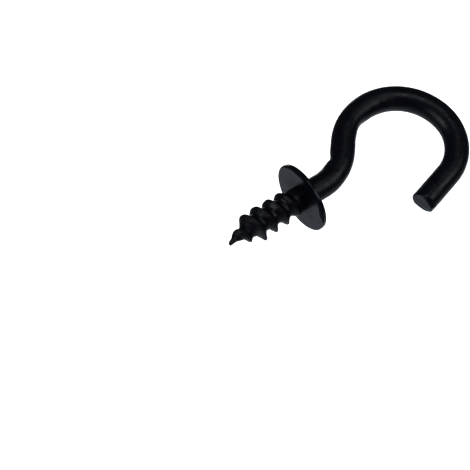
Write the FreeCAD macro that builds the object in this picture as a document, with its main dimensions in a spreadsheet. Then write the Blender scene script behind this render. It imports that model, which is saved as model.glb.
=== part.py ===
import FreeCAD, Part
import math
import os
from collections import namedtuple
from enum import IntEnum

import Sketcher

# A ceiling hook: one length of wire, bent into a hook below and rolled into a wood screw above,
# and a thin stamped disc that is staked on the wire between the two.
# The origin is the centre of the disc's upper face, which meets the ceiling. The screw points up
# along +Z, the hook hangs below in the X-Z plane, and its mouth opens towards -X.

doc = FreeCAD.newDocument("ceiling_hook")

# Driving dimensions, in millimetres and degrees

DIMENSIONS = {
    # the wire, with its coat
    "wire_diameter": 4.0,
    # the hook's centre line, from the ceiling face down
    "shank_drop": 4.1,
    "neck_radius": 8.6,
    "neck_angle": 48.4,
    "throat_length": 2.2,
    "bowl_radius": 9.4,
    "bowl_angle": 124.5,
    "heel_radius": 8.0,
    "heel_angle": 87.4,
    "lip_length": 7.0,
    "end_round": 0.3,
    # the marks that the bending tools left inside the neck and inside the bowl
    "neck_mark_angle": 37.0,
    "neck_mark_radius": 1.3,
    "neck_mark_depth": 0.27,
    "bowl_mark_angle": 24.0,
    "bowl_mark_radius": 3.2,
    "bowl_mark_depth": 0.28,
    # the disc, and the ring of wire that is spread into its hole
    "collar_diameter": 11.5,
    "collar_thickness": 0.7,
    "collar_rim_round": 0.25,
    "stake_width": 0.4,
    "stake_depth": 0.35,
    "stake_recess": 0.05,
    # the screw's core, stretch by stretch above the ceiling face
    "shoulder_swell": 0.05,
    "shoulder_length": 1.2,
    "taper_length": 1.5,
    "root_depth": 0.285,
    "root_length": 6.5,
    "cone_length": 3.6,
    "cone_end_diameter": 1.1,
    # the nib where the point was pinched off, a little to one side
    "nib_length": 1.4,
    "nib_diameter": 0.64,
    "nib_offset": 0.45,
    "nib_round": 0.2,
    # the rolled thread: the core is pressed in at its root, and the crest stands out of the wire
    "thread_pitch": 2.3,
    "thread_start": 0.75,
    "thread_start_angle": 6.0,
    "runout_length": 2.45,
    "runout_height": 0.06,
    "thread_stop": 0.3,
    "crest_height": 0.52,
    "crest_swell": 0.2,
    "crest_width": 0.35,
    "foot_width": 1.55,
    "foot_depth": 0.3,
}

sheet = doc.addObject("Spreadsheet::Sheet", "Dimensions")
for row, (alias, number) in enumerate(DIMENSIONS.items(), start=1):
    sheet.set(f"A{row}", alias)
    sheet.set(f"B{row}", str(number))
    sheet.setAlias(f"B{row}", alias)
doc.recompute()


def cell(alias):
    """A driving dimension's name as an expression writes it."""
    return f"{sheet.Name}.{alias}"


def value(expression):
    """The number that an expression comes to."""
    return float(sheet.evalExpression(expression))


def size(alias):
    """A driving dimension's number."""
    return value(cell(alias))


# Radii and heights that follow from the driving dimensions

WIRE_RADIUS = f"{cell('wire_diameter')} / 2"
STAKE_RADIUS = f"{WIRE_RADIUS} + {cell('stake_width')}"
SHOULDER_RADIUS = f"{WIRE_RADIUS} + {cell('shoulder_swell')}"
ROOT_RADIUS = f"{WIRE_RADIUS} - {cell('root_depth')}"
CONE_END_RADIUS = f"{cell('cone_end_diameter')} / 2"
COLLAR_RADIUS = f"{cell('collar_diameter')} / 2"

STAKE_FOOT = f"-{cell('stake_depth')}"
STAKE_TOP = f"-{cell('stake_recess')}"
SHOULDER_TOP = cell("shoulder_length")
ROOT_START = f"{SHOULDER_TOP} + {cell('taper_length')}"
CONE_START = f"{ROOT_START} + {cell('root_length')}"
CONE_END = f"{CONE_START} + {cell('cone_length')}"
NIB_END = f"{CONE_END} + {cell('nib_length')}"
THREAD_FULL = f"{cell('thread_start')} + {cell('runout_length')}"
THREAD_END = f"{CONE_END} - {cell('thread_stop')}"

# Sketches

FLAT = FreeCAD.Vector(0, 0, 1)


class Axis(IntEnum):
    """A sketch's own axes, by their geometry numbers."""
    ACROSS = -1
    UP = -2


class Vertex(IntEnum):
    """The points of a curve, by their numbers."""
    START = 1
    END = 2
    CENTRE = 3


ORIGIN = (Axis.ACROSS, Vertex.START)


def new_sketch(body, name, role):
    """An empty sketch on one of the body's own origin planes."""
    sketch = body.newObject("Sketcher::SketchObject", name)
    plane = next(item for item in body.Origin.OriginFeatures if item.Role == role)
    sketch.AttachmentSupport = [(plane, "")]
    sketch.MapMode = "FlatFace"
    return sketch


def polar(radius, angle):
    """The sketch vector of this length at this angle from the sketch's own x axis."""
    turned = math.radians(angle)
    return FreeCAD.Vector(radius * math.cos(turned), radius * math.sin(turned), 0)


def bound(sketch, expression, kind, *geometry):
    """A constraint whose value follows an expression."""
    number = math.radians(value(expression)) if kind == "Angle" else value(expression)
    index = sketch.addConstraint(Sketcher.Constraint(kind, *geometry, number))
    sketch.setExpression(f"Constraints[{index}]", expression)


def place_point(sketch, geometry, vertex, across, up):
    """Holds a point at these distances from the sketch's origin, where None means on the axis."""
    if across is None:
        sketch.addConstraint(Sketcher.Constraint("PointOnObject", geometry, vertex, Axis.UP))
    else:
        bound(sketch, across, "DistanceX", *ORIGIN, geometry, vertex)
    if up is None:
        sketch.addConstraint(Sketcher.Constraint("PointOnObject", geometry, vertex, Axis.ACROSS))
    else:
        bound(sketch, up, "DistanceY", *ORIGIN, geometry, vertex)


def distance(expression):
    """A distance's number, where None means none."""
    return 0 if expression is None else value(expression)


def draw_outline(sketch, corners):
    """A closed outline of straight sides, with each corner at the distances that it gives."""
    points = [FreeCAD.Vector(distance(across), distance(up), 0) for across, up in corners]
    for index, point in enumerate(points):
        sketch.addGeometry(Part.LineSegment(points[index - 1], point))
    for index, (across, up) in enumerate(corners):
        following = (index + 1) % len(corners)
        sketch.addConstraint(Sketcher.Constraint("Coincident", index, Vertex.END, following, Vertex.START))
        place_point(sketch, index, Vertex.END, across, up)


def draw_circle(sketch, diameter, across=None):
    """A circle with its centre on the sketch's x axis, at the origin unless a distance is given."""
    centre = FreeCAD.Vector(distance(across), 0, 0)
    index = sketch.addGeometry(Part.Circle(centre, FLAT, value(diameter) / 2))
    bound(sketch, diameter, "Diameter", index)
    place_point(sketch, index, Vertex.CENTRE, across, None)


def revolve(body, name, sketch):
    """A full turn of a sketch about its upright axis."""
    feature = body.newObject("PartDesign::Revolution", name)
    feature.Profile = sketch
    feature.ReferenceAxis = (sketch, ["V_Axis"])
    feature.Angle = 360
    doc.recompute()
    return feature


def round_rims(body, name, base, radius, is_rim):
    """Rounds the circular edges of a feature that a test picks by their circle."""
    rims = [
        f"Edge{number}"
        for number, edge in enumerate(base.Shape.Edges, start=1)
        if isinstance(edge.Curve, Part.Circle) and is_rim(edge.Curve)
    ]
    feature = body.newObject("PartDesign::Fillet", name)
    feature.Base = (base, rims)
    feature.setExpression("Radius", radius)
    doc.recompute()


# The hook's wire: one round section carried along runs and bends that meet smoothly

LEFT, RIGHT = 1, -1
Pen = namedtuple("Pen", "point heading geometry vertex")
Bend = namedtuple("Bend", "centre radius first_angle turn")


def join(sketch, pen, geometry, vertex):
    """Starts a stretch at the pen: straight down from the origin, or smoothly from the one before."""
    if pen.geometry is None:
        sketch.addConstraint(Sketcher.Constraint("Coincident", geometry, vertex, *ORIGIN))
        sketch.addConstraint(Sketcher.Constraint("Vertical", geometry))
    else:
        sketch.addConstraint(Sketcher.Constraint("Tangent", pen.geometry, pen.vertex, geometry, vertex))


def draw_run(sketch, pen, length):
    """A straight stretch."""
    end = pen.point + polar(size(length), pen.heading)
    index = sketch.addGeometry(Part.LineSegment(pen.point, end))
    join(sketch, pen, index, Vertex.START)
    bound(sketch, cell(length), "Distance", index)
    return Pen(end, pen.heading, index, Vertex.END)


def draw_bend(sketch, pen, radius, angle, turn):
    """A stretch round an arc that turns left or right, and the arc that it follows."""
    centre = pen.point + polar(turn * size(radius), pen.heading + 90)
    bend = Bend(centre, size(radius), pen.heading - turn * 90, turn)
    last_angle = bend.first_angle + turn * size(angle)
    low, high = sorted((bend.first_angle, last_angle))
    circle = Part.Circle(centre, FLAT, bend.radius)
    index = sketch.addGeometry(Part.ArcOfCircle(circle, math.radians(low), math.radians(high)))
    near, far = (Vertex.START, Vertex.END) if turn == LEFT else (Vertex.END, Vertex.START)
    join(sketch, pen, index, near)
    bound(sketch, cell(radius), "Radius", index)
    bound(sketch, cell(angle), "Angle", index)
    end = centre + polar(bend.radius, last_angle)
    return Pen(end, pen.heading + turn * size(angle), index, far), bend


def upright(point):
    """A point of an X-Z sketch in the part's own frame."""
    return FreeCAD.Vector(point.x, 0, point.y)


wire = doc.addObject("PartDesign::Body", "wire")

centre_line = new_sketch(wire, "centre_line", "XZ_Plane")
pen = Pen(FreeCAD.Vector(0, 0, 0), -90, None, None)
pen = draw_run(centre_line, pen, "shank_drop")
pen, neck = draw_bend(centre_line, pen, "neck_radius", "neck_angle", LEFT)
pen = draw_run(centre_line, pen, "throat_length")
pen, bowl = draw_bend(centre_line, pen, "bowl_radius", "bowl_angle", RIGHT)
pen, _ = draw_bend(centre_line, pen, "heel_radius", "heel_angle", RIGHT)
pen = draw_run(centre_line, pen, "lip_length")
free_end = upright(pen.point)

section = new_sketch(wire, "section", "XY_Plane")
draw_circle(section, cell("wire_diameter"))

hook_sweep = wire.newObject("PartDesign::AdditivePipe", "hook_sweep")
hook_sweep.Profile = section
hook_sweep.Spine = (centre_line, [])
doc.recompute()


def at_free_end(rim):
    """Is this circle the edge of the wire's cut end?"""
    return rim.Center.distanceToPoint(free_end) < size("end_round")


round_rims(wire, "cut_end", hook_sweep, cell("end_round"), at_free_end)

# The screw's core: the staked ring just below the ceiling face, the shoulder, the root of the
# thread, its cone and the nib

core_outline = new_sketch(wire, "core_outline", "XZ_Plane")
draw_outline(core_outline, [
    (None, STAKE_FOOT),
    (WIRE_RADIUS, STAKE_FOOT),
    (STAKE_RADIUS, STAKE_TOP),
    (SHOULDER_RADIUS, STAKE_TOP),
    (SHOULDER_RADIUS, SHOULDER_TOP),
    (ROOT_RADIUS, ROOT_START),
    (ROOT_RADIUS, CONE_START),
    (CONE_END_RADIUS, CONE_END),
    (None, CONE_END),
])
revolve(wire, "core", core_outline)

nib_base = new_sketch(wire, "nib_base", "XY_Plane")
nib_base.setExpression("AttachmentOffset.Base.z", CONE_END)
draw_circle(nib_base, cell("cone_end_diameter"))
nib_top = new_sketch(wire, "nib_top", "XY_Plane")
nib_top.setExpression("AttachmentOffset.Base.z", NIB_END)
draw_circle(nib_top, cell("nib_diameter"), f"-{cell('nib_offset')}")
nib = wire.newObject("PartDesign::AdditiveLoft", "nib")
nib.Profile = nib_base
nib.Sections = [nib_top]
doc.recompute()


def at_nib_end(rim):
    """Is this circle the edge of the nib's flat end?"""
    return rim.Center.z > value(NIB_END) - size("nib_round")


WALL_SHARE = 0.45
NIB_ROUND = f"min({cell('nib_round')}; {WALL_SHARE} * {cell('nib_diameter')})"
round_rims(wire, "nib_rounded", nib, NIB_ROUND, at_nib_end)

# The marks of the bending tools: shallow saddles across the wire, on the inside of a bend

ACROSS = FreeCAD.Vector(0, 1, 0)


def cut_bend_mark(name, base, bend, mark):
    """Cuts a mark into the inside of a bend, at its own angle along it."""
    pin = doc.addObject("Part::Cylinder", f"{name}_pin")
    pin.setExpression("Radius", cell(f"{mark}_radius"))
    pin.setExpression("Height", f"2 * {cell('wire_diameter')}")
    inside = bend.radius - value(WIRE_RADIUS)
    reach = inside + size(f"{mark}_depth") - size(f"{mark}_radius")
    angle = bend.first_angle + bend.turn * size(f"{mark}_angle")
    middle = upright(bend.centre + polar(reach, angle))
    first_end = middle - ACROSS * size("wire_diameter")
    pin.Placement = FreeCAD.Placement(first_end, FreeCAD.Rotation(FLAT, ACROSS))
    marked = doc.addObject("Part::Cut", name)
    marked.Base = base
    marked.Tool = pin
    doc.recompute()
    return marked


neck_marked = cut_bend_mark("neck_marked", wire, neck, "neck_mark")
bowl_marked = cut_bend_mark("bowl_marked", neck_marked, bowl, "bowl_mark")

# The thread: a ridge that climbs round the core, rises out of the shoulder and runs down the cone

STATIONS_PER_TURN = 20
SWELL_START, SWELL_END = 0.75, 0.25  # in turns below the cone


def blend(height, low, high, first, last):
    """Goes evenly from the first value at the low height to the last at the high one."""
    share = min(max((height - low) / (high - low), 0), 1)
    return first + share * (last - first)


def core_radius(height):
    """The core's radius at a height, as in its outline."""
    root = value(ROOT_RADIUS)
    if height < value(CONE_START):
        return blend(height, value(SHOULDER_TOP), value(ROOT_START), value(SHOULDER_RADIUS), root)
    return blend(height, value(CONE_START), value(CONE_END), root, value(CONE_END_RADIUS))


def crest_radius(height):
    """The ridge's outer radius: low at both ends, full between, and widest just below the cone."""
    full = value(WIRE_RADIUS) + size("crest_height")
    widest = full + size("crest_swell")
    first = core_radius(size("thread_start")) + size("runout_height")
    last = core_radius(value(THREAD_END)) + size("runout_height")
    swell_start = value(CONE_START) - SWELL_START * size("thread_pitch")
    swell_end = value(CONE_START) - SWELL_END * size("thread_pitch")
    if height < swell_start:
        return blend(height, size("thread_start"), value(THREAD_FULL), first, full)
    if height < value(CONE_START):
        return blend(height, swell_start, swell_end, full, widest)
    return blend(height, value(CONE_START), value(THREAD_END), widest, last)


def ridge_corners(angle):
    """The ridge's corners in the plane at this angle along it: foot, crest, crest and foot."""
    height = size("thread_start") + size("thread_pitch") * angle / 360
    to_foot = size("foot_width") / 2
    to_crest = size("crest_width") / 2
    corners = [
        (core_radius(height - to_foot) - size("foot_depth"), height - to_foot),
        (crest_radius(height), height - to_crest),
        (crest_radius(height), height + to_crest),
        (core_radius(height + to_foot) - size("foot_depth"), height + to_foot),
    ]
    turned = size("thread_start_angle") + angle
    return [polar(radius, turned) + FreeCAD.Vector(0, 0, level) for radius, level in corners]


def helical_curve(points):
    """A smooth curve through the points that one corner passes on its way up."""
    curve = Part.BSplineCurve()
    curve.interpolate(Points=points, Parameters=angles)
    return curve


def ridge_turn(name, first, last):
    """One length of the ridge between two stations, closed by its flat ends."""
    edges = [curve.toShape(angles[first], angles[last]) for curve in curves]
    faces = [Part.makeRuledSurface(before, edge) for before, edge in zip([edges[-1]] + edges, edges)]
    for ring in (rings[first], rings[last]):
        faces.append(Part.Face(Part.makePolygon(ring + ring[:1])))
    skin = Part.makeShell(faces)
    skin.sewShape()
    turn = doc.addObject("Part::Feature", name)
    turn.Shape = Part.Solid(skin)
    return turn


turns = (value(THREAD_END) - size("thread_start")) / size("thread_pitch")
stations = math.floor(turns * STATIONS_PER_TURN)
angles = [360 * station / STATIONS_PER_TURN for station in range(stations + 1)]
rings = [ridge_corners(angle) for angle in angles]
curves = [helical_curve(list(points)) for points in zip(*rings)]
ridge = []
for first in range(0, stations, STATIONS_PER_TURN):
    last = min(first + STATIONS_PER_TURN, stations)
    ridge.append(ridge_turn(f"thread_turn_{len(ridge) + 1}", first, last))

hook = doc.addObject("Part::MultiFuse", "hook")
hook.Shapes = [bowl_marked] + ridge
hook.Label = "hook"

# The disc, with a countersunk hole that the staked ring fills

collar = doc.addObject("PartDesign::Body", "collar")
collar.Label = "collar"
disc_outline = new_sketch(collar, "disc_outline", "XZ_Plane")
draw_outline(disc_outline, [
    (WIRE_RADIUS, f"-{cell('collar_thickness')}"),
    (COLLAR_RADIUS, f"-{cell('collar_thickness')}"),
    (COLLAR_RADIUS, None),
    (STAKE_RADIUS, None),
    (STAKE_RADIUS, STAKE_TOP),
    (WIRE_RADIUS, STAKE_FOOT),
])
disc = revolve(collar, "disc", disc_outline)


def at_disc_rim(rim):
    """Is this circle one of the two edges round the outside of the disc?"""
    return rim.Radius > value(COLLAR_RADIUS) - size("collar_rim_round")


COLLAR_ROUND = f"min({cell('collar_rim_round')}; {WALL_SHARE} * {cell('collar_thickness')})"
round_rims(collar, "disc_rounded", disc, COLLAR_ROUND, at_disc_rim)

# The finished pieces

doc.recompute()
for item in doc.Objects:
    if "Invalid" in item.State or "Error" in item.State:
        raise RuntimeError(f"{item.Name} failed: {item.State}")

os.makedirs("parts", exist_ok=True)
for node in (hook, collar):
    if node.Shape.isNull() or not node.Shape.isValid() or len(node.Shape.Solids) != 1:
        raise RuntimeError(f"{node.Label} is not one valid solid")
    node.Shape.exportStep(f"parts/{node.Label}.step")
    print(node.Label, round(node.Shape.Volume, 3), "mm3")
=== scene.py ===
import math

import bpy
from mathutils import Matrix, Vector, noise


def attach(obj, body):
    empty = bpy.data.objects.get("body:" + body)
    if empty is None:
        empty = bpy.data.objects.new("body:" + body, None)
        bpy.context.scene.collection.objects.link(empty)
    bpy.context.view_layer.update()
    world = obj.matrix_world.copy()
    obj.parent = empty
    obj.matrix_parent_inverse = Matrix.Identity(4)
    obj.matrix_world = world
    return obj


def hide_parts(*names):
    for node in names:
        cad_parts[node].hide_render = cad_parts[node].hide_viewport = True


# A black screw-in ceiling hook, dressed over its CAD frame.
# Lengths are in millimetres unless a line says otherwise, and the meshes are scaled to metres when made.

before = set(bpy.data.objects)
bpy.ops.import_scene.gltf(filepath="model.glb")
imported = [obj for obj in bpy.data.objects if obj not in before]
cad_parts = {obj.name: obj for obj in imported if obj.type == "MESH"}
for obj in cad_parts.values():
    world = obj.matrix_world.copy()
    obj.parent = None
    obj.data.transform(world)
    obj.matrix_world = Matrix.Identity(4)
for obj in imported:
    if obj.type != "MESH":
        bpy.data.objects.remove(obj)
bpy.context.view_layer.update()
MM = 0.001

# The wire's centre line below the ceiling face: runs as (length,), bends as (radius, degrees, side)

WIRE_RADIUS = 2.0
LEFT, RIGHT = 1, -1
STRETCHES = [
    (4.1,),
    (8.6, 48.4, LEFT),
    (2.2,),
    (9.4, 124.5, RIGHT),
    (8.0, 87.4, RIGHT),
    (7.0,),
]

# Which side of the screw and of the disc is lowest in the photograph, as an angle round the screw

LOWER_SIDE = math.radians(161.5)

# The screw's core, from its shoulder to the nib that was pinched off, and how its end is bent aside

SHOULDER_RADIUS = 2.05
SHOULDER_TOP = 1.2
SHOULDER_SOFT = 0.2
ROOT_RADIUS = 1.715
ROOT_START = 2.7
CONE_START = 9.2
CONE_END = 12.8
CONE_END_RADIUS = 0.55
NIB_END = 14.2
NIB_RADIUS = 0.32
NIB_ROUND = 0.2
NIB_OFFSET = 0.34
SAG_START = 10.0
TIP_SAG = 0.22

# The thread: its ridge, where it rises and runs out, and the burr on the lower side of its crests

PITCH = 2.3
START_ANGLE = math.radians(6)
THREAD_START = 0.75
THREAD_FULL = 3.2
THREAD_END = 12.5
RUN_IN = (THREAD_START - 0.1, THREAD_START + 0.5)
RUN_OUT = (THREAD_END - 0.1, THREAD_END + 0.3)
CREST_RADIUS = 2.57
CREST_SWELL = 0.2
SWELL_START = 7.475
SWELL_END = 8.625
LAST_CREST = 0.35
CREST_FLAT = 0.07
FLANK_BELOW = 0.8
FLANK_ABOVE = 0.86
FLANK_HOLLOW = 1.15  # a power: 1 would make the flanks straight
THREAD_TILT = 0.018  # per millimetre of height
BURR = 0.15
BURR_RISE = (4.0, 6.0)
BURR_FALL = (9.0, 10.0)

# The staked ring under the coat, from the shoulder out into the disc and back down to the wire

STAKE_RADIUS = 2.4
STAKE_DEPTH = 0.35
STAKE_RECESS = 0.05
STAKED_RING = [
    (SHOULDER_RADIUS, 0.0),
    (STAKE_RADIUS, -STAKE_RECESS),
    (WIRE_RADIUS, -STAKE_DEPTH),
]

# The collar, and how it is out of flat outside the staked ring: twisted, with its lower half bent down

COLLAR_RADIUS = 5.745
COLLAR_THICKNESS = 0.7
UPPER_ROUND = 0.1
LOWER_ROUND = 0.25
FACE_FILM = 0.004
OUT_OF_FLAT = (STAKE_RADIUS, STAKE_RADIUS + 0.8)
TWIST = 0.002  # times the radius squared
LOBE_BEND = 0.13

# The collar's coat: between which radii its duller middle, darkened towards the screw with painted shade,
# fades, and how wide its matt edge is, by angle

DULL_SHADED_MIDDLE = (2.4, 4.8)
MATT_EDGE = [
    (184, 0.0),
    (190, 0.5),
    (196, 0.9),
    (205, 1.0),
    (220, 0.88),
    (251, 0.95),
    (296, 0.9),
    (322, 0.5),
    (345, 0.2),
    (358, 0.05),
]

# The wire's coat: a fillet under the collar, a slightly thicker shank, and room to stay inside the solid

COAT_FILLET = 0.14
FILLET_FADE = (COLLAR_THICKNESS - 0.05, COLLAR_THICKNESS + 0.3)
SHANK_EXTRA = 0.05
SHANK_FADE = (5.0, 8.0)
SKIN_INSET = 0.01

# Marks of the bending tools inside the bends: (distance along the wire, how far its skin stands out or in)

NECK_MARK = [(6.2, 0.0), (7.4, 0.06), (8.2, 0.01), (9.5, -0.26), (10.1, -0.2), (11.5, 0.0)]
BOWL_MARK = [(12.0, 0.0), (14.6, -0.07), (17.5, -0.3), (20.6, 0.0), (24, 0.07), (34, 0.07), (38, 0.0)]
BENDS = [(NECK_MARK, math.radians(0)), (BOWL_MARK, math.radians(180))]
MARK_FOCUS = 3  # a power: a higher one makes the marks narrower round the wire

# Flats that the shears left at the cut end, in the same form, and the edge that they rolled over

SHEAR_OUTSIDE = [(51.9, 0.0), (53.2, -0.14)]
SHEAR_NEAR = [(52.5, 0.0), (53.1, -0.52)]
SHEAR_BEHIND = [(52.4, 0.0), (53.2, -0.22)]
SHEARS = [
    (SHEAR_OUTSIDE, math.radians(0)),
    (SHEAR_NEAR, math.radians(-53)),
    (SHEAR_BEHIND, math.radians(103)),
]
SHEAR_SOFT = 0.12
SHEAR_FACING = 0.2  # a cosine: the skin is shaved only where it faces a flat by more than this
END_ROUND = 0.2
END_ROOM = 0.5  # where the wire's own rings stop, short of the end
END_INSET = 0.025
ROLL_ANGLE = math.radians(60)
ROLL_START = 0.25  # a share of the wire's radius
ROLL_DEPTH = 0.35

# Unevenness of the surfaces: (height, size of its features, a number that sets its noise apart)

SCREW_PITS = (0.03, 0.9, 3)
CREST_WAVES = (0.05, 1.6, 9)
WIRE_WAVES = (0.012, 2.2, 5)
WIRE_PITS = (0.006, 0.8, 7)
DISC_WAVES = (0.015, 2.6, 4)
END_PITS = (END_INSET, 0.9, 2)
ROUGH_RISE = (0.2, 2.0)
ROUGH_FALL = (13.0, 14.0)

# Lines that the rolling dies dragged along the thread's flanks, measured across and along the ridge

DRAG_LINES = (0.1, 1, 6)
DRAG_WIDTH = 0.26
DRAG_LENGTH = 2.6
DRAG_FADE = 0.2  # a share of the ridge's height

# How finely the meshes are divided

AROUND = 128
ANGLES = [math.tau * i / AROUND for i in range(AROUND)]
BOWS = [math.radians(turn) for turn in range(0, 91, 15)]
SCREW_STEP = 0.06
WIRE_STEP = 0.2
WIRE_START = STAKE_DEPTH + 0.05
FACE_RINGS = 48
UNDER_RINGS = 24
END_RINGS = (0.85, 0.7, 0.55, 0.4, 0.25, 0.1)


def share_between(low, high, x):
    """How far x lies from low to high, kept from 0 to 1."""
    return min(max((x - low) / (high - low), 0.0), 1.0)


def smooth(low, high, x):
    """Goes smoothly from 0 at low to 1 at high."""
    t = share_between(low, high, x)
    return t * t * (3 - 2 * t)


def between(rise, fall, x):
    """Goes smoothly from 0 to 1 over the range rise, and back to 0 over the range fall."""
    return smooth(*rise, x) * (1 - smooth(*fall, x))


def mix(a, b, t):
    """The value that lies the share t of the way from a to b."""
    return a + (b - a) * t


def through(points, x):
    """A smooth step-by-step curve through (x, y) points."""
    if x <= points[0][0]:
        return points[0][1]
    for (x0, y0), (x1, y1) in zip(points, points[1:]):
        if x <= x1:
            return mix(y0, y1, smooth(x0, x1, x))
    return points[-1][1]


def unevenness(point, kind):
    """The height of one kind of smooth noise at a point."""
    height, size, seed = kind
    return height * noise.noise(point / size + Vector((seed, 0, 0)))


def lower_half(angle):
    """Is 1 towards the lower side, and fades to 0 a quarter turn away from it."""
    return max(math.cos(angle - LOWER_SIDE), 0) ** 2


def level_ring(radius, z):
    """A round ring of points about the screw's axis."""
    return [Vector((math.cos(a) * radius, math.sin(a) * radius, z)) for a in ANGLES]


def make_mesh(name, rings, dull_and_shade):
    """A closed skin through rings of points: it ends in single points, or its last ring joins its first."""
    points = [p for ring in rings for p in ring]
    faces = []
    starts = []
    count = 0
    for ring in rings:
        starts.append(count)
        count += len(ring)
    joins = len(rings) if len(rings[-1]) > 1 else len(rings) - 1
    for k in range(joins):
        following = (k + 1) % len(rings)
        a, b = starts[k], starts[following]
        if len(rings[k]) == 1:
            faces += [(a, b + i, b + (i + 1) % AROUND) for i in range(AROUND)]
        elif len(rings[following]) == 1:
            faces += [(a + i, b, a + (i + 1) % AROUND) for i in range(AROUND)]
        else:
            faces += [(a + i, b + i, b + (i + 1) % AROUND, a + (i + 1) % AROUND) for i in range(AROUND)]
    mesh = bpy.data.meshes.new(name)
    mesh.from_pydata([p * MM for p in points], [], faces)
    mesh.polygons.foreach_set("use_smooth", [True] * len(mesh.polygons))
    attribute = mesh.attributes.new("dull_and_shade", "FLOAT", "POINT")
    attribute.data.foreach_set("value", dull_and_shade)
    mesh.update()
    return mesh


def add_object(name, data):
    """A new object, put into the scene."""
    item = bpy.data.objects.new(name, data)
    bpy.context.scene.collection.objects.link(item)
    return item


# The screw


def core_radius(z):
    """The screw's core at a height, with the corners of its shoulder softened."""
    if z > CONE_END:
        return mix(CONE_END_RADIUS, NIB_RADIUS, share_between(CONE_END, NIB_END, z))
    if z > CONE_START:
        return mix(ROOT_RADIUS, CONE_END_RADIUS, share_between(CONE_START, CONE_END, z))
    taper = smooth(SHOULDER_TOP - SHOULDER_SOFT, ROOT_START + SHOULDER_SOFT, z)
    return mix(SHOULDER_RADIUS, ROOT_RADIUS, taper)


def crest_radius(z):
    """The thread's outer radius where its crest passes this height."""
    widest = CREST_RADIUS + CREST_SWELL
    if z < SWELL_START:
        first = core_radius(THREAD_START)
        return mix(first, CREST_RADIUS, share_between(THREAD_START, THREAD_FULL, z))
    if z < CONE_START:
        return mix(CREST_RADIUS, widest, smooth(SWELL_START, SWELL_END, z))
    last = core_radius(THREAD_END) + LAST_CREST
    return mix(widest, last, share_between(CONE_START, THREAD_END, z))


def thread_share(angle, z):
    """How far up its ridge a point of the screw lies, and the height of that ridge's crest."""
    climbed = THREAD_START + PITCH * (angle - START_ANGLE) / math.tau
    climbed -= THREAD_TILT * z * math.cos(angle - LOWER_SIDE)
    away = (z - climbed + PITCH / 2) % PITCH - PITCH / 2
    crest = z - away
    flank = FLANK_BELOW if away < 0 else FLANK_ABOVE
    down = share_between(CREST_FLAT, CREST_FLAT + flank, abs(away))
    return (1 - down) ** FLANK_HOLLOW * between(RUN_IN, RUN_OUT, crest), crest


def lean(z):
    """How far the screw's axis is bent aside at a height: a little along the cone, more along the nib."""
    sag = TIP_SAG * smooth(SAG_START, CONE_END, z)
    aside = NIB_OFFSET * share_between(CONE_END, NIB_END, z)
    return Vector((math.cos(LOWER_SIDE) * sag - aside, math.sin(LOWER_SIDE) * sag, 0))


def screw_point(angle, z):
    """A point of the screw's skin, and how far up the thread's ridge it lies."""
    share, crest = thread_share(angle, z)
    core = core_radius(z)
    radius = mix(core, max(crest_radius(crest), core), share)
    across = Vector((math.cos(angle), math.sin(angle), 0))
    height = Vector((0, 0, z))
    here = across * radius + height
    along = crest * math.tau * CREST_RADIUS / PITCH
    unrolled = Vector(((z - crest) / DRAG_WIDTH, along / DRAG_LENGTH, 0))
    rough = unevenness(here, SCREW_PITS) + share * unevenness(here, CREST_WAVES)
    rough += smooth(0, DRAG_FADE, share) * unevenness(unrolled, DRAG_LINES)
    radius += rough * between(ROUGH_RISE, ROUGH_FALL, z)
    radius += BURR * share ** 2 * lower_half(angle) * between(BURR_RISE, BURR_FALL, z)
    return across * radius + lean(z) + height, share


# The wire


def ahead(heading):
    """The direction of a heading, which is an angle in the X-Z plane."""
    return Vector((math.cos(heading), 0, math.sin(heading)))


def leftward(heading):
    """The direction square to a heading, on its left."""
    return Vector((-math.sin(heading), 0, math.cos(heading)))


def travel(point, heading, stretch, part):
    """The point and the heading that a stretch of wire reaches after part of its length."""
    if len(stretch) == 1:
        return point + ahead(heading) * part, heading
    radius, _, side = stretch
    turned = heading + side * part / radius
    centre = point + leftward(heading) * side * radius
    return centre - leftward(turned) * side * radius, turned


def centre_line(step):
    """Stations along the wire: distance from the ceiling face, point and heading, as far as its end."""
    stations = []
    point = Vector((0, 0, 0))
    heading = -math.pi / 2
    gone = 0.0
    for stretch in STRETCHES:
        length = stretch[0] if len(stretch) == 1 else stretch[0] * math.radians(stretch[1])
        count = max(2, round(length / step))
        for index in range(count):
            part = length * index / count
            stations.append((gone + part, *travel(point, heading, stretch, part)))
        point, heading = travel(point, heading, stretch, length)
        gone += length
    stations.append((gone, point, heading))
    return stations


def shaved(radius, limit):
    """The lesser of a radius and a limit, with the corner between them softened."""
    gap = (radius - limit) / SHEAR_SOFT
    return radius - SHEAR_SOFT * (math.log1p(math.exp(gap)) - math.log(2) * math.exp(-abs(gap)))


def wire_radius(gone, angle):
    """The wire's radius at a distance along it, with the marks of the bending tools and of the shears."""
    radius = WIRE_RADIUS
    for mark, direction in BENDS:
        radius += through(mark, gone) * max(math.cos(angle - direction), 0) ** MARK_FOCUS
    for mark, direction in SHEARS:
        facing = math.cos(angle - direction)
        if facing > SHEAR_FACING:
            radius = shaved(radius, (WIRE_RADIUS + through(mark, gone)) / facing)
    return radius


def ring_at(place, heading, radii):
    """A ring of points square to the wire's heading, starting on the side that faces +X at the top."""
    side = leftward(heading)
    away = Vector((0, 1, 0))
    return [place + side * (r * math.cos(a)) + away * (r * math.sin(a)) for a, r in zip(ANGLES, radii)]


def wire_ring(gone, place, heading):
    """A ring of the wire's coated skin."""
    coated = COAT_FILLET * (1 - smooth(*FILLET_FADE, gone))
    coated += SHANK_EXTRA * (1 - smooth(*SHANK_FADE, gone))
    radii = []
    for a in ANGLES:
        here = place + Vector((math.cos(a), math.sin(a), 0)) * WIRE_RADIUS
        uneven = unevenness(here, WIRE_WAVES) + unevenness(here, WIRE_PITS)
        radii.append(wire_radius(gone, a) - SKIN_INSET + coated + uneven)
    return ring_at(place, heading, radii)


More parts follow.
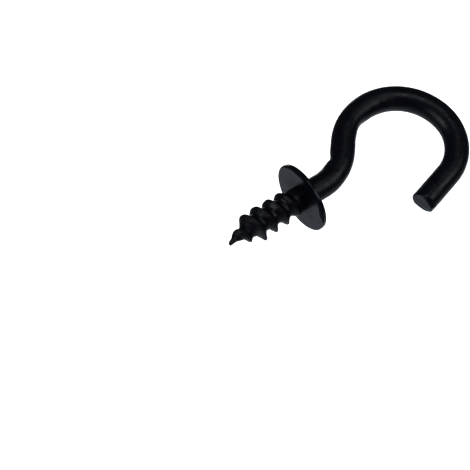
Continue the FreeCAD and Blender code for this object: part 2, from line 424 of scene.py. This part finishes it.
def cut_end(length, place, heading):
    """Rings of the sheared end: rolled over on one side, with a small round, and not quite flat."""
    along = ahead(heading)
    rolled = leftward(heading) * math.cos(ROLL_ANGLE)
    rolled.y = math.sin(ROLL_ANGLE)
    outer = [wire_radius(length, a) for a in ANGLES]

    def pressed(point):
        lower = (point - place).dot(rolled) / WIRE_RADIUS
        drop = ROLL_DEPTH * max(lower - ROLL_START, 0) ** 2
        return point - along * (drop + END_INSET + unevenness(point, END_PITS))

    ends = []
    for bow in BOWS:
        flat = ring_at(place, heading, [o - END_ROUND * (1 - math.cos(bow)) for o in outer])
        ends.append([pressed(p) - along * (END_ROUND * (1 - math.sin(bow))) for p in flat])
    for share in END_RINGS:
        flat = ring_at(place, heading, [(o - END_ROUND) * share for o in outer])
        ends.append([pressed(p) for p in flat])
    ends.append([pressed(place)])
    return ends


# The hook: one skin from the nib's point, down the screw and along the wire to its cut end


def hook_rings():
    """The hook's rings, and how dull each of their points is."""
    rings, dull_and_shade = [], []

    def add(ring, shares=None):
        rings.append(ring)
        dull_and_shade.extend(shares or [0.0] * len(ring))

    tip = lean(NIB_END)
    screw_top = NIB_END - NIB_ROUND
    add([Vector((0, 0, NIB_END)) + tip])
    for bow in BOWS[1:-1]:
        radius = NIB_RADIUS - NIB_ROUND + NIB_ROUND * math.sin(bow)
        add([p + tip for p in level_ring(radius, screw_top + NIB_ROUND * math.cos(bow))])
    levels = round(screw_top / SCREW_STEP)
    for level in range(levels):
        z = screw_top * (1 - level / levels)
        points = [screw_point(a, z) for a in ANGLES]
        add([p for p, _ in points], [share for _, share in points])
    for radius, z in STAKED_RING:
        add(level_ring(radius, z))
    stations = centre_line(WIRE_STEP)
    length = stations[-1][0]
    for gone, place, heading in stations:
        if WIRE_START < gone <= length - END_ROOM:
            add(wire_ring(gone, place, heading))
    for ring in cut_end(*stations[-1]):
        add(ring)
    return rings, dull_and_shade


rings, dull_and_shade = hook_rings()
hook = add_object("hook_skin", make_mesh("hook_skin", rings, dull_and_shade))
for face in hook.data.polygons:
    face.material_index = int(face.center.z > THREAD_START * MM)

# The collar


def collar_outline():
    """The disc's section: up its hole, across the ceiling face, round the rim and back underneath."""
    flat = COLLAR_RADIUS - UPPER_ROUND
    under = COLLAR_RADIUS - LOWER_ROUND
    outline = [(WIRE_RADIUS, -STAKE_DEPTH), (WIRE_RADIUS, -STAKE_RECESS)]
    outline += [(mix(WIRE_RADIUS, flat, i / FACE_RINGS), FACE_FILM) for i in range(FACE_RINGS + 1)]
    for bow in BOWS[1:]:
        outline.append((flat + UPPER_ROUND * math.sin(bow), UPPER_ROUND * (math.cos(bow) - 1)))
    for bow in BOWS:
        z = -COLLAR_THICKNESS + LOWER_ROUND * (1 - math.sin(bow))
        outline.append((under + LOWER_ROUND * math.cos(bow), z))
    for i in range(1, UNDER_RINGS + 1):
        outline.append((mix(under, WIRE_RADIUS, i / UNDER_RINGS), -COLLAR_THICKNESS))
    return outline


def collar_rings():
    """The disc's rings, how dull each of their points is, with painted shade darkening it towards the
    screw, and whether it lies on the matt edge.
    """
    rings, dull_and_shade, matt = [], [], []
    for r, z in collar_outline():
        loose = smooth(*OUT_OF_FLAT, r)
        ring = []
        for a, p in zip(ANGLES, level_ring(r, z)):
            saddle = TWIST * r * r * math.cos(a - LOWER_SIDE) * math.sin(LOWER_SIDE - a)
            lobe = LOBE_BEND * (r / COLLAR_RADIUS) ** 2 * lower_half(a)
            warp = loose * (saddle - lobe + unevenness(p, DISC_WAVES))
            ring.append(p + Vector((0, 0, warp)))
            inside = COLLAR_RADIUS - through(MATT_EDGE, math.degrees(a))
            matt.append(r > inside and z > -UPPER_ROUND)
            # Duller and darker towards the screw: the rougher coat is real, the darker colour is painted
            # shade where the screw meets the disc.
            dull_and_shade.append(1 - smooth(*DULL_SHADED_MIDDLE, r))
        rings.append(ring)
    return rings, dull_and_shade, matt


rings, dull_and_shade, matt = collar_rings()
collar = add_object("collar_skin", make_mesh("collar_skin", rings, dull_and_shade))
for face in collar.data.polygons:
    face.material_index = int(all(matt[v] for v in face.vertices))

# The coat's unevenness: noise as (features per metre, detail), and the stretch of the noise that is used

COLOUR_PATCHES = (420, 4)
COLOUR_STRETCH = (0.35, 0.65)
GLOSS_PATCHES = (480, 5)
GLOSS_STRETCH = (0.32, 0.68)
WAVES = (900, 2)
WAVE_HEIGHT = 0.0001  # in metres
PEEL = (3200, 3)
PEEL_HEIGHT = 0.00002  # in metres

# Where the coat is dull: its colour, which is painted shade on the collar's middle and a darker tone on the
# thread's crests, and what is added to its roughness

DULL_AND_SHADE_COLOUR = (0.0017, 0.0014, 0.0025)
DULL_ROUGHNESS = 0.12

# Linear colours of the coat

PURPLE_BLACK, BLUE_BLACK = (0.0021, 0.0017, 0.0038), (0.0015, 0.0027, 0.0047)
PURPLE, OLIVE = (0.0034, 0.0017, 0.0063), (0.0014, 0.0032, 0.0036)
DARK_SLATE, PALE_SLATE = (0.0014, 0.0020, 0.0039), (0.0026, 0.0033, 0.0057)


def map_range(nodes, low, high, at_low, at_high):
    """A node that takes low to at_low and high to at_high."""
    node = nodes.new("ShaderNodeMapRange")
    node.inputs["From Min"].default_value = low
    node.inputs["From Max"].default_value = high
    node.inputs["To Min"].default_value = at_low
    node.inputs["To Max"].default_value = at_high
    return node


def coat(name, dark, pale, roughness, grain, shine):
    """A satin black coat: uneven colour and gloss, orange peel, and duller and darker where the mesh says
    so; the darker colour is painted shade on the collar's middle and a darker crest tone on the thread.
    """
    material = bpy.data.materials.new(name)
    material.use_nodes = True
    nodes, links = material.node_tree.nodes, material.node_tree.links
    shader = nodes["Principled BSDF"]
    shader.inputs["Specular IOR Level"].default_value = shine
    place = nodes.new("ShaderNodeTexCoord")
    dull_and_shade_part = nodes.new("ShaderNodeAttribute")
    dull_and_shade_part.attribute_name = "dull_and_shade"

    def speckle(scale, detail):
        node = nodes.new("ShaderNodeTexNoise")
        node.inputs["Scale"].default_value = scale
        node.inputs["Detail"].default_value = detail
        links.new(place.outputs["Object"], node.inputs["Vector"])
        return node.outputs["Fac"]

    def bumps(noise_kind, height):
        node = nodes.new("ShaderNodeBump")
        node.inputs["Strength"].default_value = grain
        node.inputs["Distance"].default_value = height
        links.new(speckle(*noise_kind), node.inputs["Height"])
        return node

    patches = nodes.new("ShaderNodeValToRGB")
    for element, position, colour in zip(patches.color_ramp.elements, COLOUR_STRETCH, (dark, pale)):
        element.position = position
        element.color = (*colour, 1)
    links.new(speckle(*COLOUR_PATCHES), patches.inputs["Fac"])
    # Mixes in the dull colour where the mesh says so: painted shade on the collar's middle, a darker crest
    # tone on the thread.
    tint = nodes.new("ShaderNodeMix")
    tint.data_type = "RGBA"
    tint.inputs["B"].default_value = (*DULL_AND_SHADE_COLOUR, 1)
    links.new(dull_and_shade_part.outputs["Fac"], tint.inputs["Factor"])
    links.new(patches.outputs["Color"], tint.inputs["A"])
    links.new(tint.outputs["Result"], shader.inputs["Base Color"])

    gloss = map_range(nodes, *GLOSS_STRETCH, *roughness)
    links.new(speckle(*GLOSS_PATCHES), gloss.inputs["Value"])
    duller = nodes.new("ShaderNodeMath")
    duller.operation = "MULTIPLY_ADD"
    duller.inputs[1].default_value = DULL_ROUGHNESS
    links.new(dull_and_shade_part.outputs["Fac"], duller.inputs[0])
    links.new(gloss.outputs["Result"], duller.inputs[2])
    links.new(duller.outputs["Value"], shader.inputs["Roughness"])

    waves = bumps(WAVES, WAVE_HEIGHT)
    peel = bumps(PEEL, PEEL_HEIGHT)
    links.new(waves.outputs["Normal"], peel.inputs["Normal"])
    links.new(peel.outputs["Normal"], shader.inputs["Normal"])
    return material


hook_coats = [
    coat("black_coat", PURPLE_BLACK, BLUE_BLACK, roughness=(0.22, 0.46), grain=0.5, shine=0.12),
    coat("thread_coat", PURPLE, OLIVE, roughness=(0.2, 0.52), grain=0.9, shine=0.105),
]
collar_coats = [
    coat("collar_coat", DARK_SLATE, PALE_SLATE, roughness=(0.15, 0.3), grain=0.25, shine=0.12),
    coat("collar_edge", DARK_SLATE, PALE_SLATE, roughness=(0.45, 0.6), grain=0.25, shine=0.01),
]
for piece, coats in ((hook, hook_coats), (collar, collar_coats)):
    for material in coats:
        piece.data.materials.append(material)
for piece, node, slot in ((hook, "hook", "black_coat"), (collar, "collar", "collar_coat")):
    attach(piece, "root")
    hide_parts(node)

# Camera, at the photograph's viewing angle: the picture is rolled, so the screw points to its lower left

IMAGE = 470  # in pixels
FOCAL = 2840.3  # in pixels
ORIGIN_AT = (300.26, 198.39)  # in pixels
LOOK_RIGHT = Vector((-0.5904, -0.1588, -0.7913)).normalized()
LOOK_DOWN = Vector((-0.7522, 0.4637, 0.4681)).normalized()
LOOK_FORWARD = LOOK_RIGHT.cross(LOOK_DOWN)
DISTANCE = 0.4427  # in metres
CLIP_START, CLIP_END = 0.01, 20  # in metres
SENSOR = 36

camera_data = bpy.data.cameras.new("camera")
camera_data.sensor_width = SENSOR
camera_data.lens = FOCAL * SENSOR / IMAGE
camera_data.clip_start = CLIP_START
camera_data.clip_end = CLIP_END
aside = (IMAGE / 2 - ORIGIN_AT[0]) / FOCAL
below = (IMAGE / 2 - ORIGIN_AT[1]) / FOCAL
aim = (LOOK_FORWARD + LOOK_RIGHT * aside + LOOK_DOWN * below).normalized()
right = (LOOK_RIGHT - aim * LOOK_RIGHT.dot(aim)).normalized()
up = right.cross(aim)
turn = Matrix((right, up, -aim)).transposed().to_4x4()
camera = add_object("camera", camera_data)
camera.matrix_world = Matrix.Translation(-LOOK_FORWARD * DISTANCE) @ turn
bpy.context.scene.camera = camera

# Floor: pale and plain, far below and behind the hook, in metres

FLOOR = -0.3
FLOOR_SIDES = (-0.1, 0.65)
FLOOR_ENDS = (0.3, 1.5)
FLOOR_GREY = (0.85, 0.85, 0.85, 1)
WHITE = (1, 1, 1, 1)


def floor_material():
    """Matt and pale, and plain white to the camera and in what mirrors or shows it."""
    material = bpy.data.materials.new("pale_floor")
    material.use_nodes = True
    nodes, links = material.node_tree.nodes, material.node_tree.links
    shader = nodes["Principled BSDF"]
    shader.inputs["Base Color"].default_value = FLOOR_GREY
    shader.inputs["Roughness"].default_value = 1
    shader.inputs["Specular IOR Level"].default_value = 0
    shader.inputs["Emission Color"].default_value = WHITE
    path = nodes.new("ShaderNodeLightPath")
    seen = path.outputs["Is Camera Ray"]
    for ray in ("Is Glossy Ray", "Is Transmission Ray"):
        either = nodes.new("ShaderNodeMath")
        either.operation = "MAXIMUM"
        links.new(seen, either.inputs[0])
        links.new(path.outputs[ray], either.inputs[1])
        seen = either.outputs["Value"]
    links.new(seen, shader.inputs["Emission Strength"])
    return material


floor_mesh = bpy.data.meshes.new("floor")
corners = [(FLOOR_SIDES[i], FLOOR_ENDS[j], FLOOR) for i, j in ((0, 0), (1, 0), (1, 1), (0, 1))]
floor_mesh.from_pydata(corners, [], [(0, 1, 2, 3)])
floor_mesh.materials.append(floor_material())
floor = add_object("floor", floor_mesh)

# World: white to the camera, and a soft backdrop behind the hook to everything else

SURROUND_TINT = (0.81, 0.885, 1.0, 1)


def make_world():
    """The world, whose light grows towards the backdrop and is weaker straight past the hook."""
    world = bpy.data.worlds.new("world")
    world.use_nodes = True
    nodes, links = world.node_tree.nodes, world.node_tree.links
    place = nodes.new("ShaderNodeTexCoord")

    def towards(direction, low, high, at_low, at_high):
        """A level that changes smoothly as the direction looked in turns towards this one."""
        facing = nodes.new("ShaderNodeVectorMath")
        facing.operation = "DOT_PRODUCT"
        facing.inputs[1].default_value = Vector(direction).normalized()
        links.new(place.outputs["Generated"], facing.inputs[0])
        level = map_range(nodes, low, high, at_low, at_high)
        level.interpolation_type = "SMOOTHSTEP"
        links.new(facing.outputs["Value"], level.inputs["Value"])
        return level.outputs["Result"]

    def times(a, b):
        node = nodes.new("ShaderNodeMath")
        node.operation = "MULTIPLY"
        links.new(a, node.inputs[0])
        links.new(b, node.inputs[1])
        return node.outputs["Value"]

    backdrop = towards((-0.426, 0.894, 0.139), low=0.15, high=0.75, at_low=0.088, at_high=0.66)
    lower_glow = towards((-0.548, 0.8, 0.248), low=0.62, high=0.88, at_low=1, at_high=1.5)
    past_object = towards(LOOK_FORWARD, low=0.8, high=0.97, at_low=1, at_high=0.3)
    surround = nodes["Background"]
    surround.inputs["Color"].default_value = SURROUND_TINT
    links.new(times(times(backdrop, lower_glow), past_object), surround.inputs["Strength"])
    white = nodes.new("ShaderNodeBackground")
    white.inputs["Strength"].default_value = 1
    white.inputs["Color"].default_value = WHITE
    path = nodes.new("ShaderNodeLightPath")
    either = nodes.new("ShaderNodeMixShader")
    links.new(path.outputs["Is Camera Ray"], either.inputs["Fac"])
    links.new(surround.outputs["Background"], either.inputs[1])
    links.new(white.outputs["Background"], either.inputs[2])
    links.new(either.outputs["Shader"], nodes["World Output"].inputs["Surface"])
    return world


bpy.context.scene.world = make_world()

# Lamps

LAMP_TINT = (0.9, 0.95, 1.0)


def soft_sun(name, source, degrees, strength):
    """A wide soft light from far away, in the direction of source."""
    light = bpy.data.lights.new(name, "SUN")
    light.energy = strength
    light.angle = math.radians(degrees)
    light.color = LAMP_TINT
    lamp = add_object(name, light)
    lamp.rotation_mode = "QUATERNION"
    lamp.rotation_quaternion = (-Vector(source)).to_track_quat("-Z", "Y")


soft_sun("key", source=(0.2, -0.455, 0.868), degrees=32, strength=1.5)
soft_sun("front", source=(0.08, -0.985, -0.15), degrees=28, strength=0.6)
soft_sun("low", source=(-0.461, -0.722, -0.516), degrees=34, strength=1.0)

bpy.context.scene.view_settings.view_transform = "Standard"
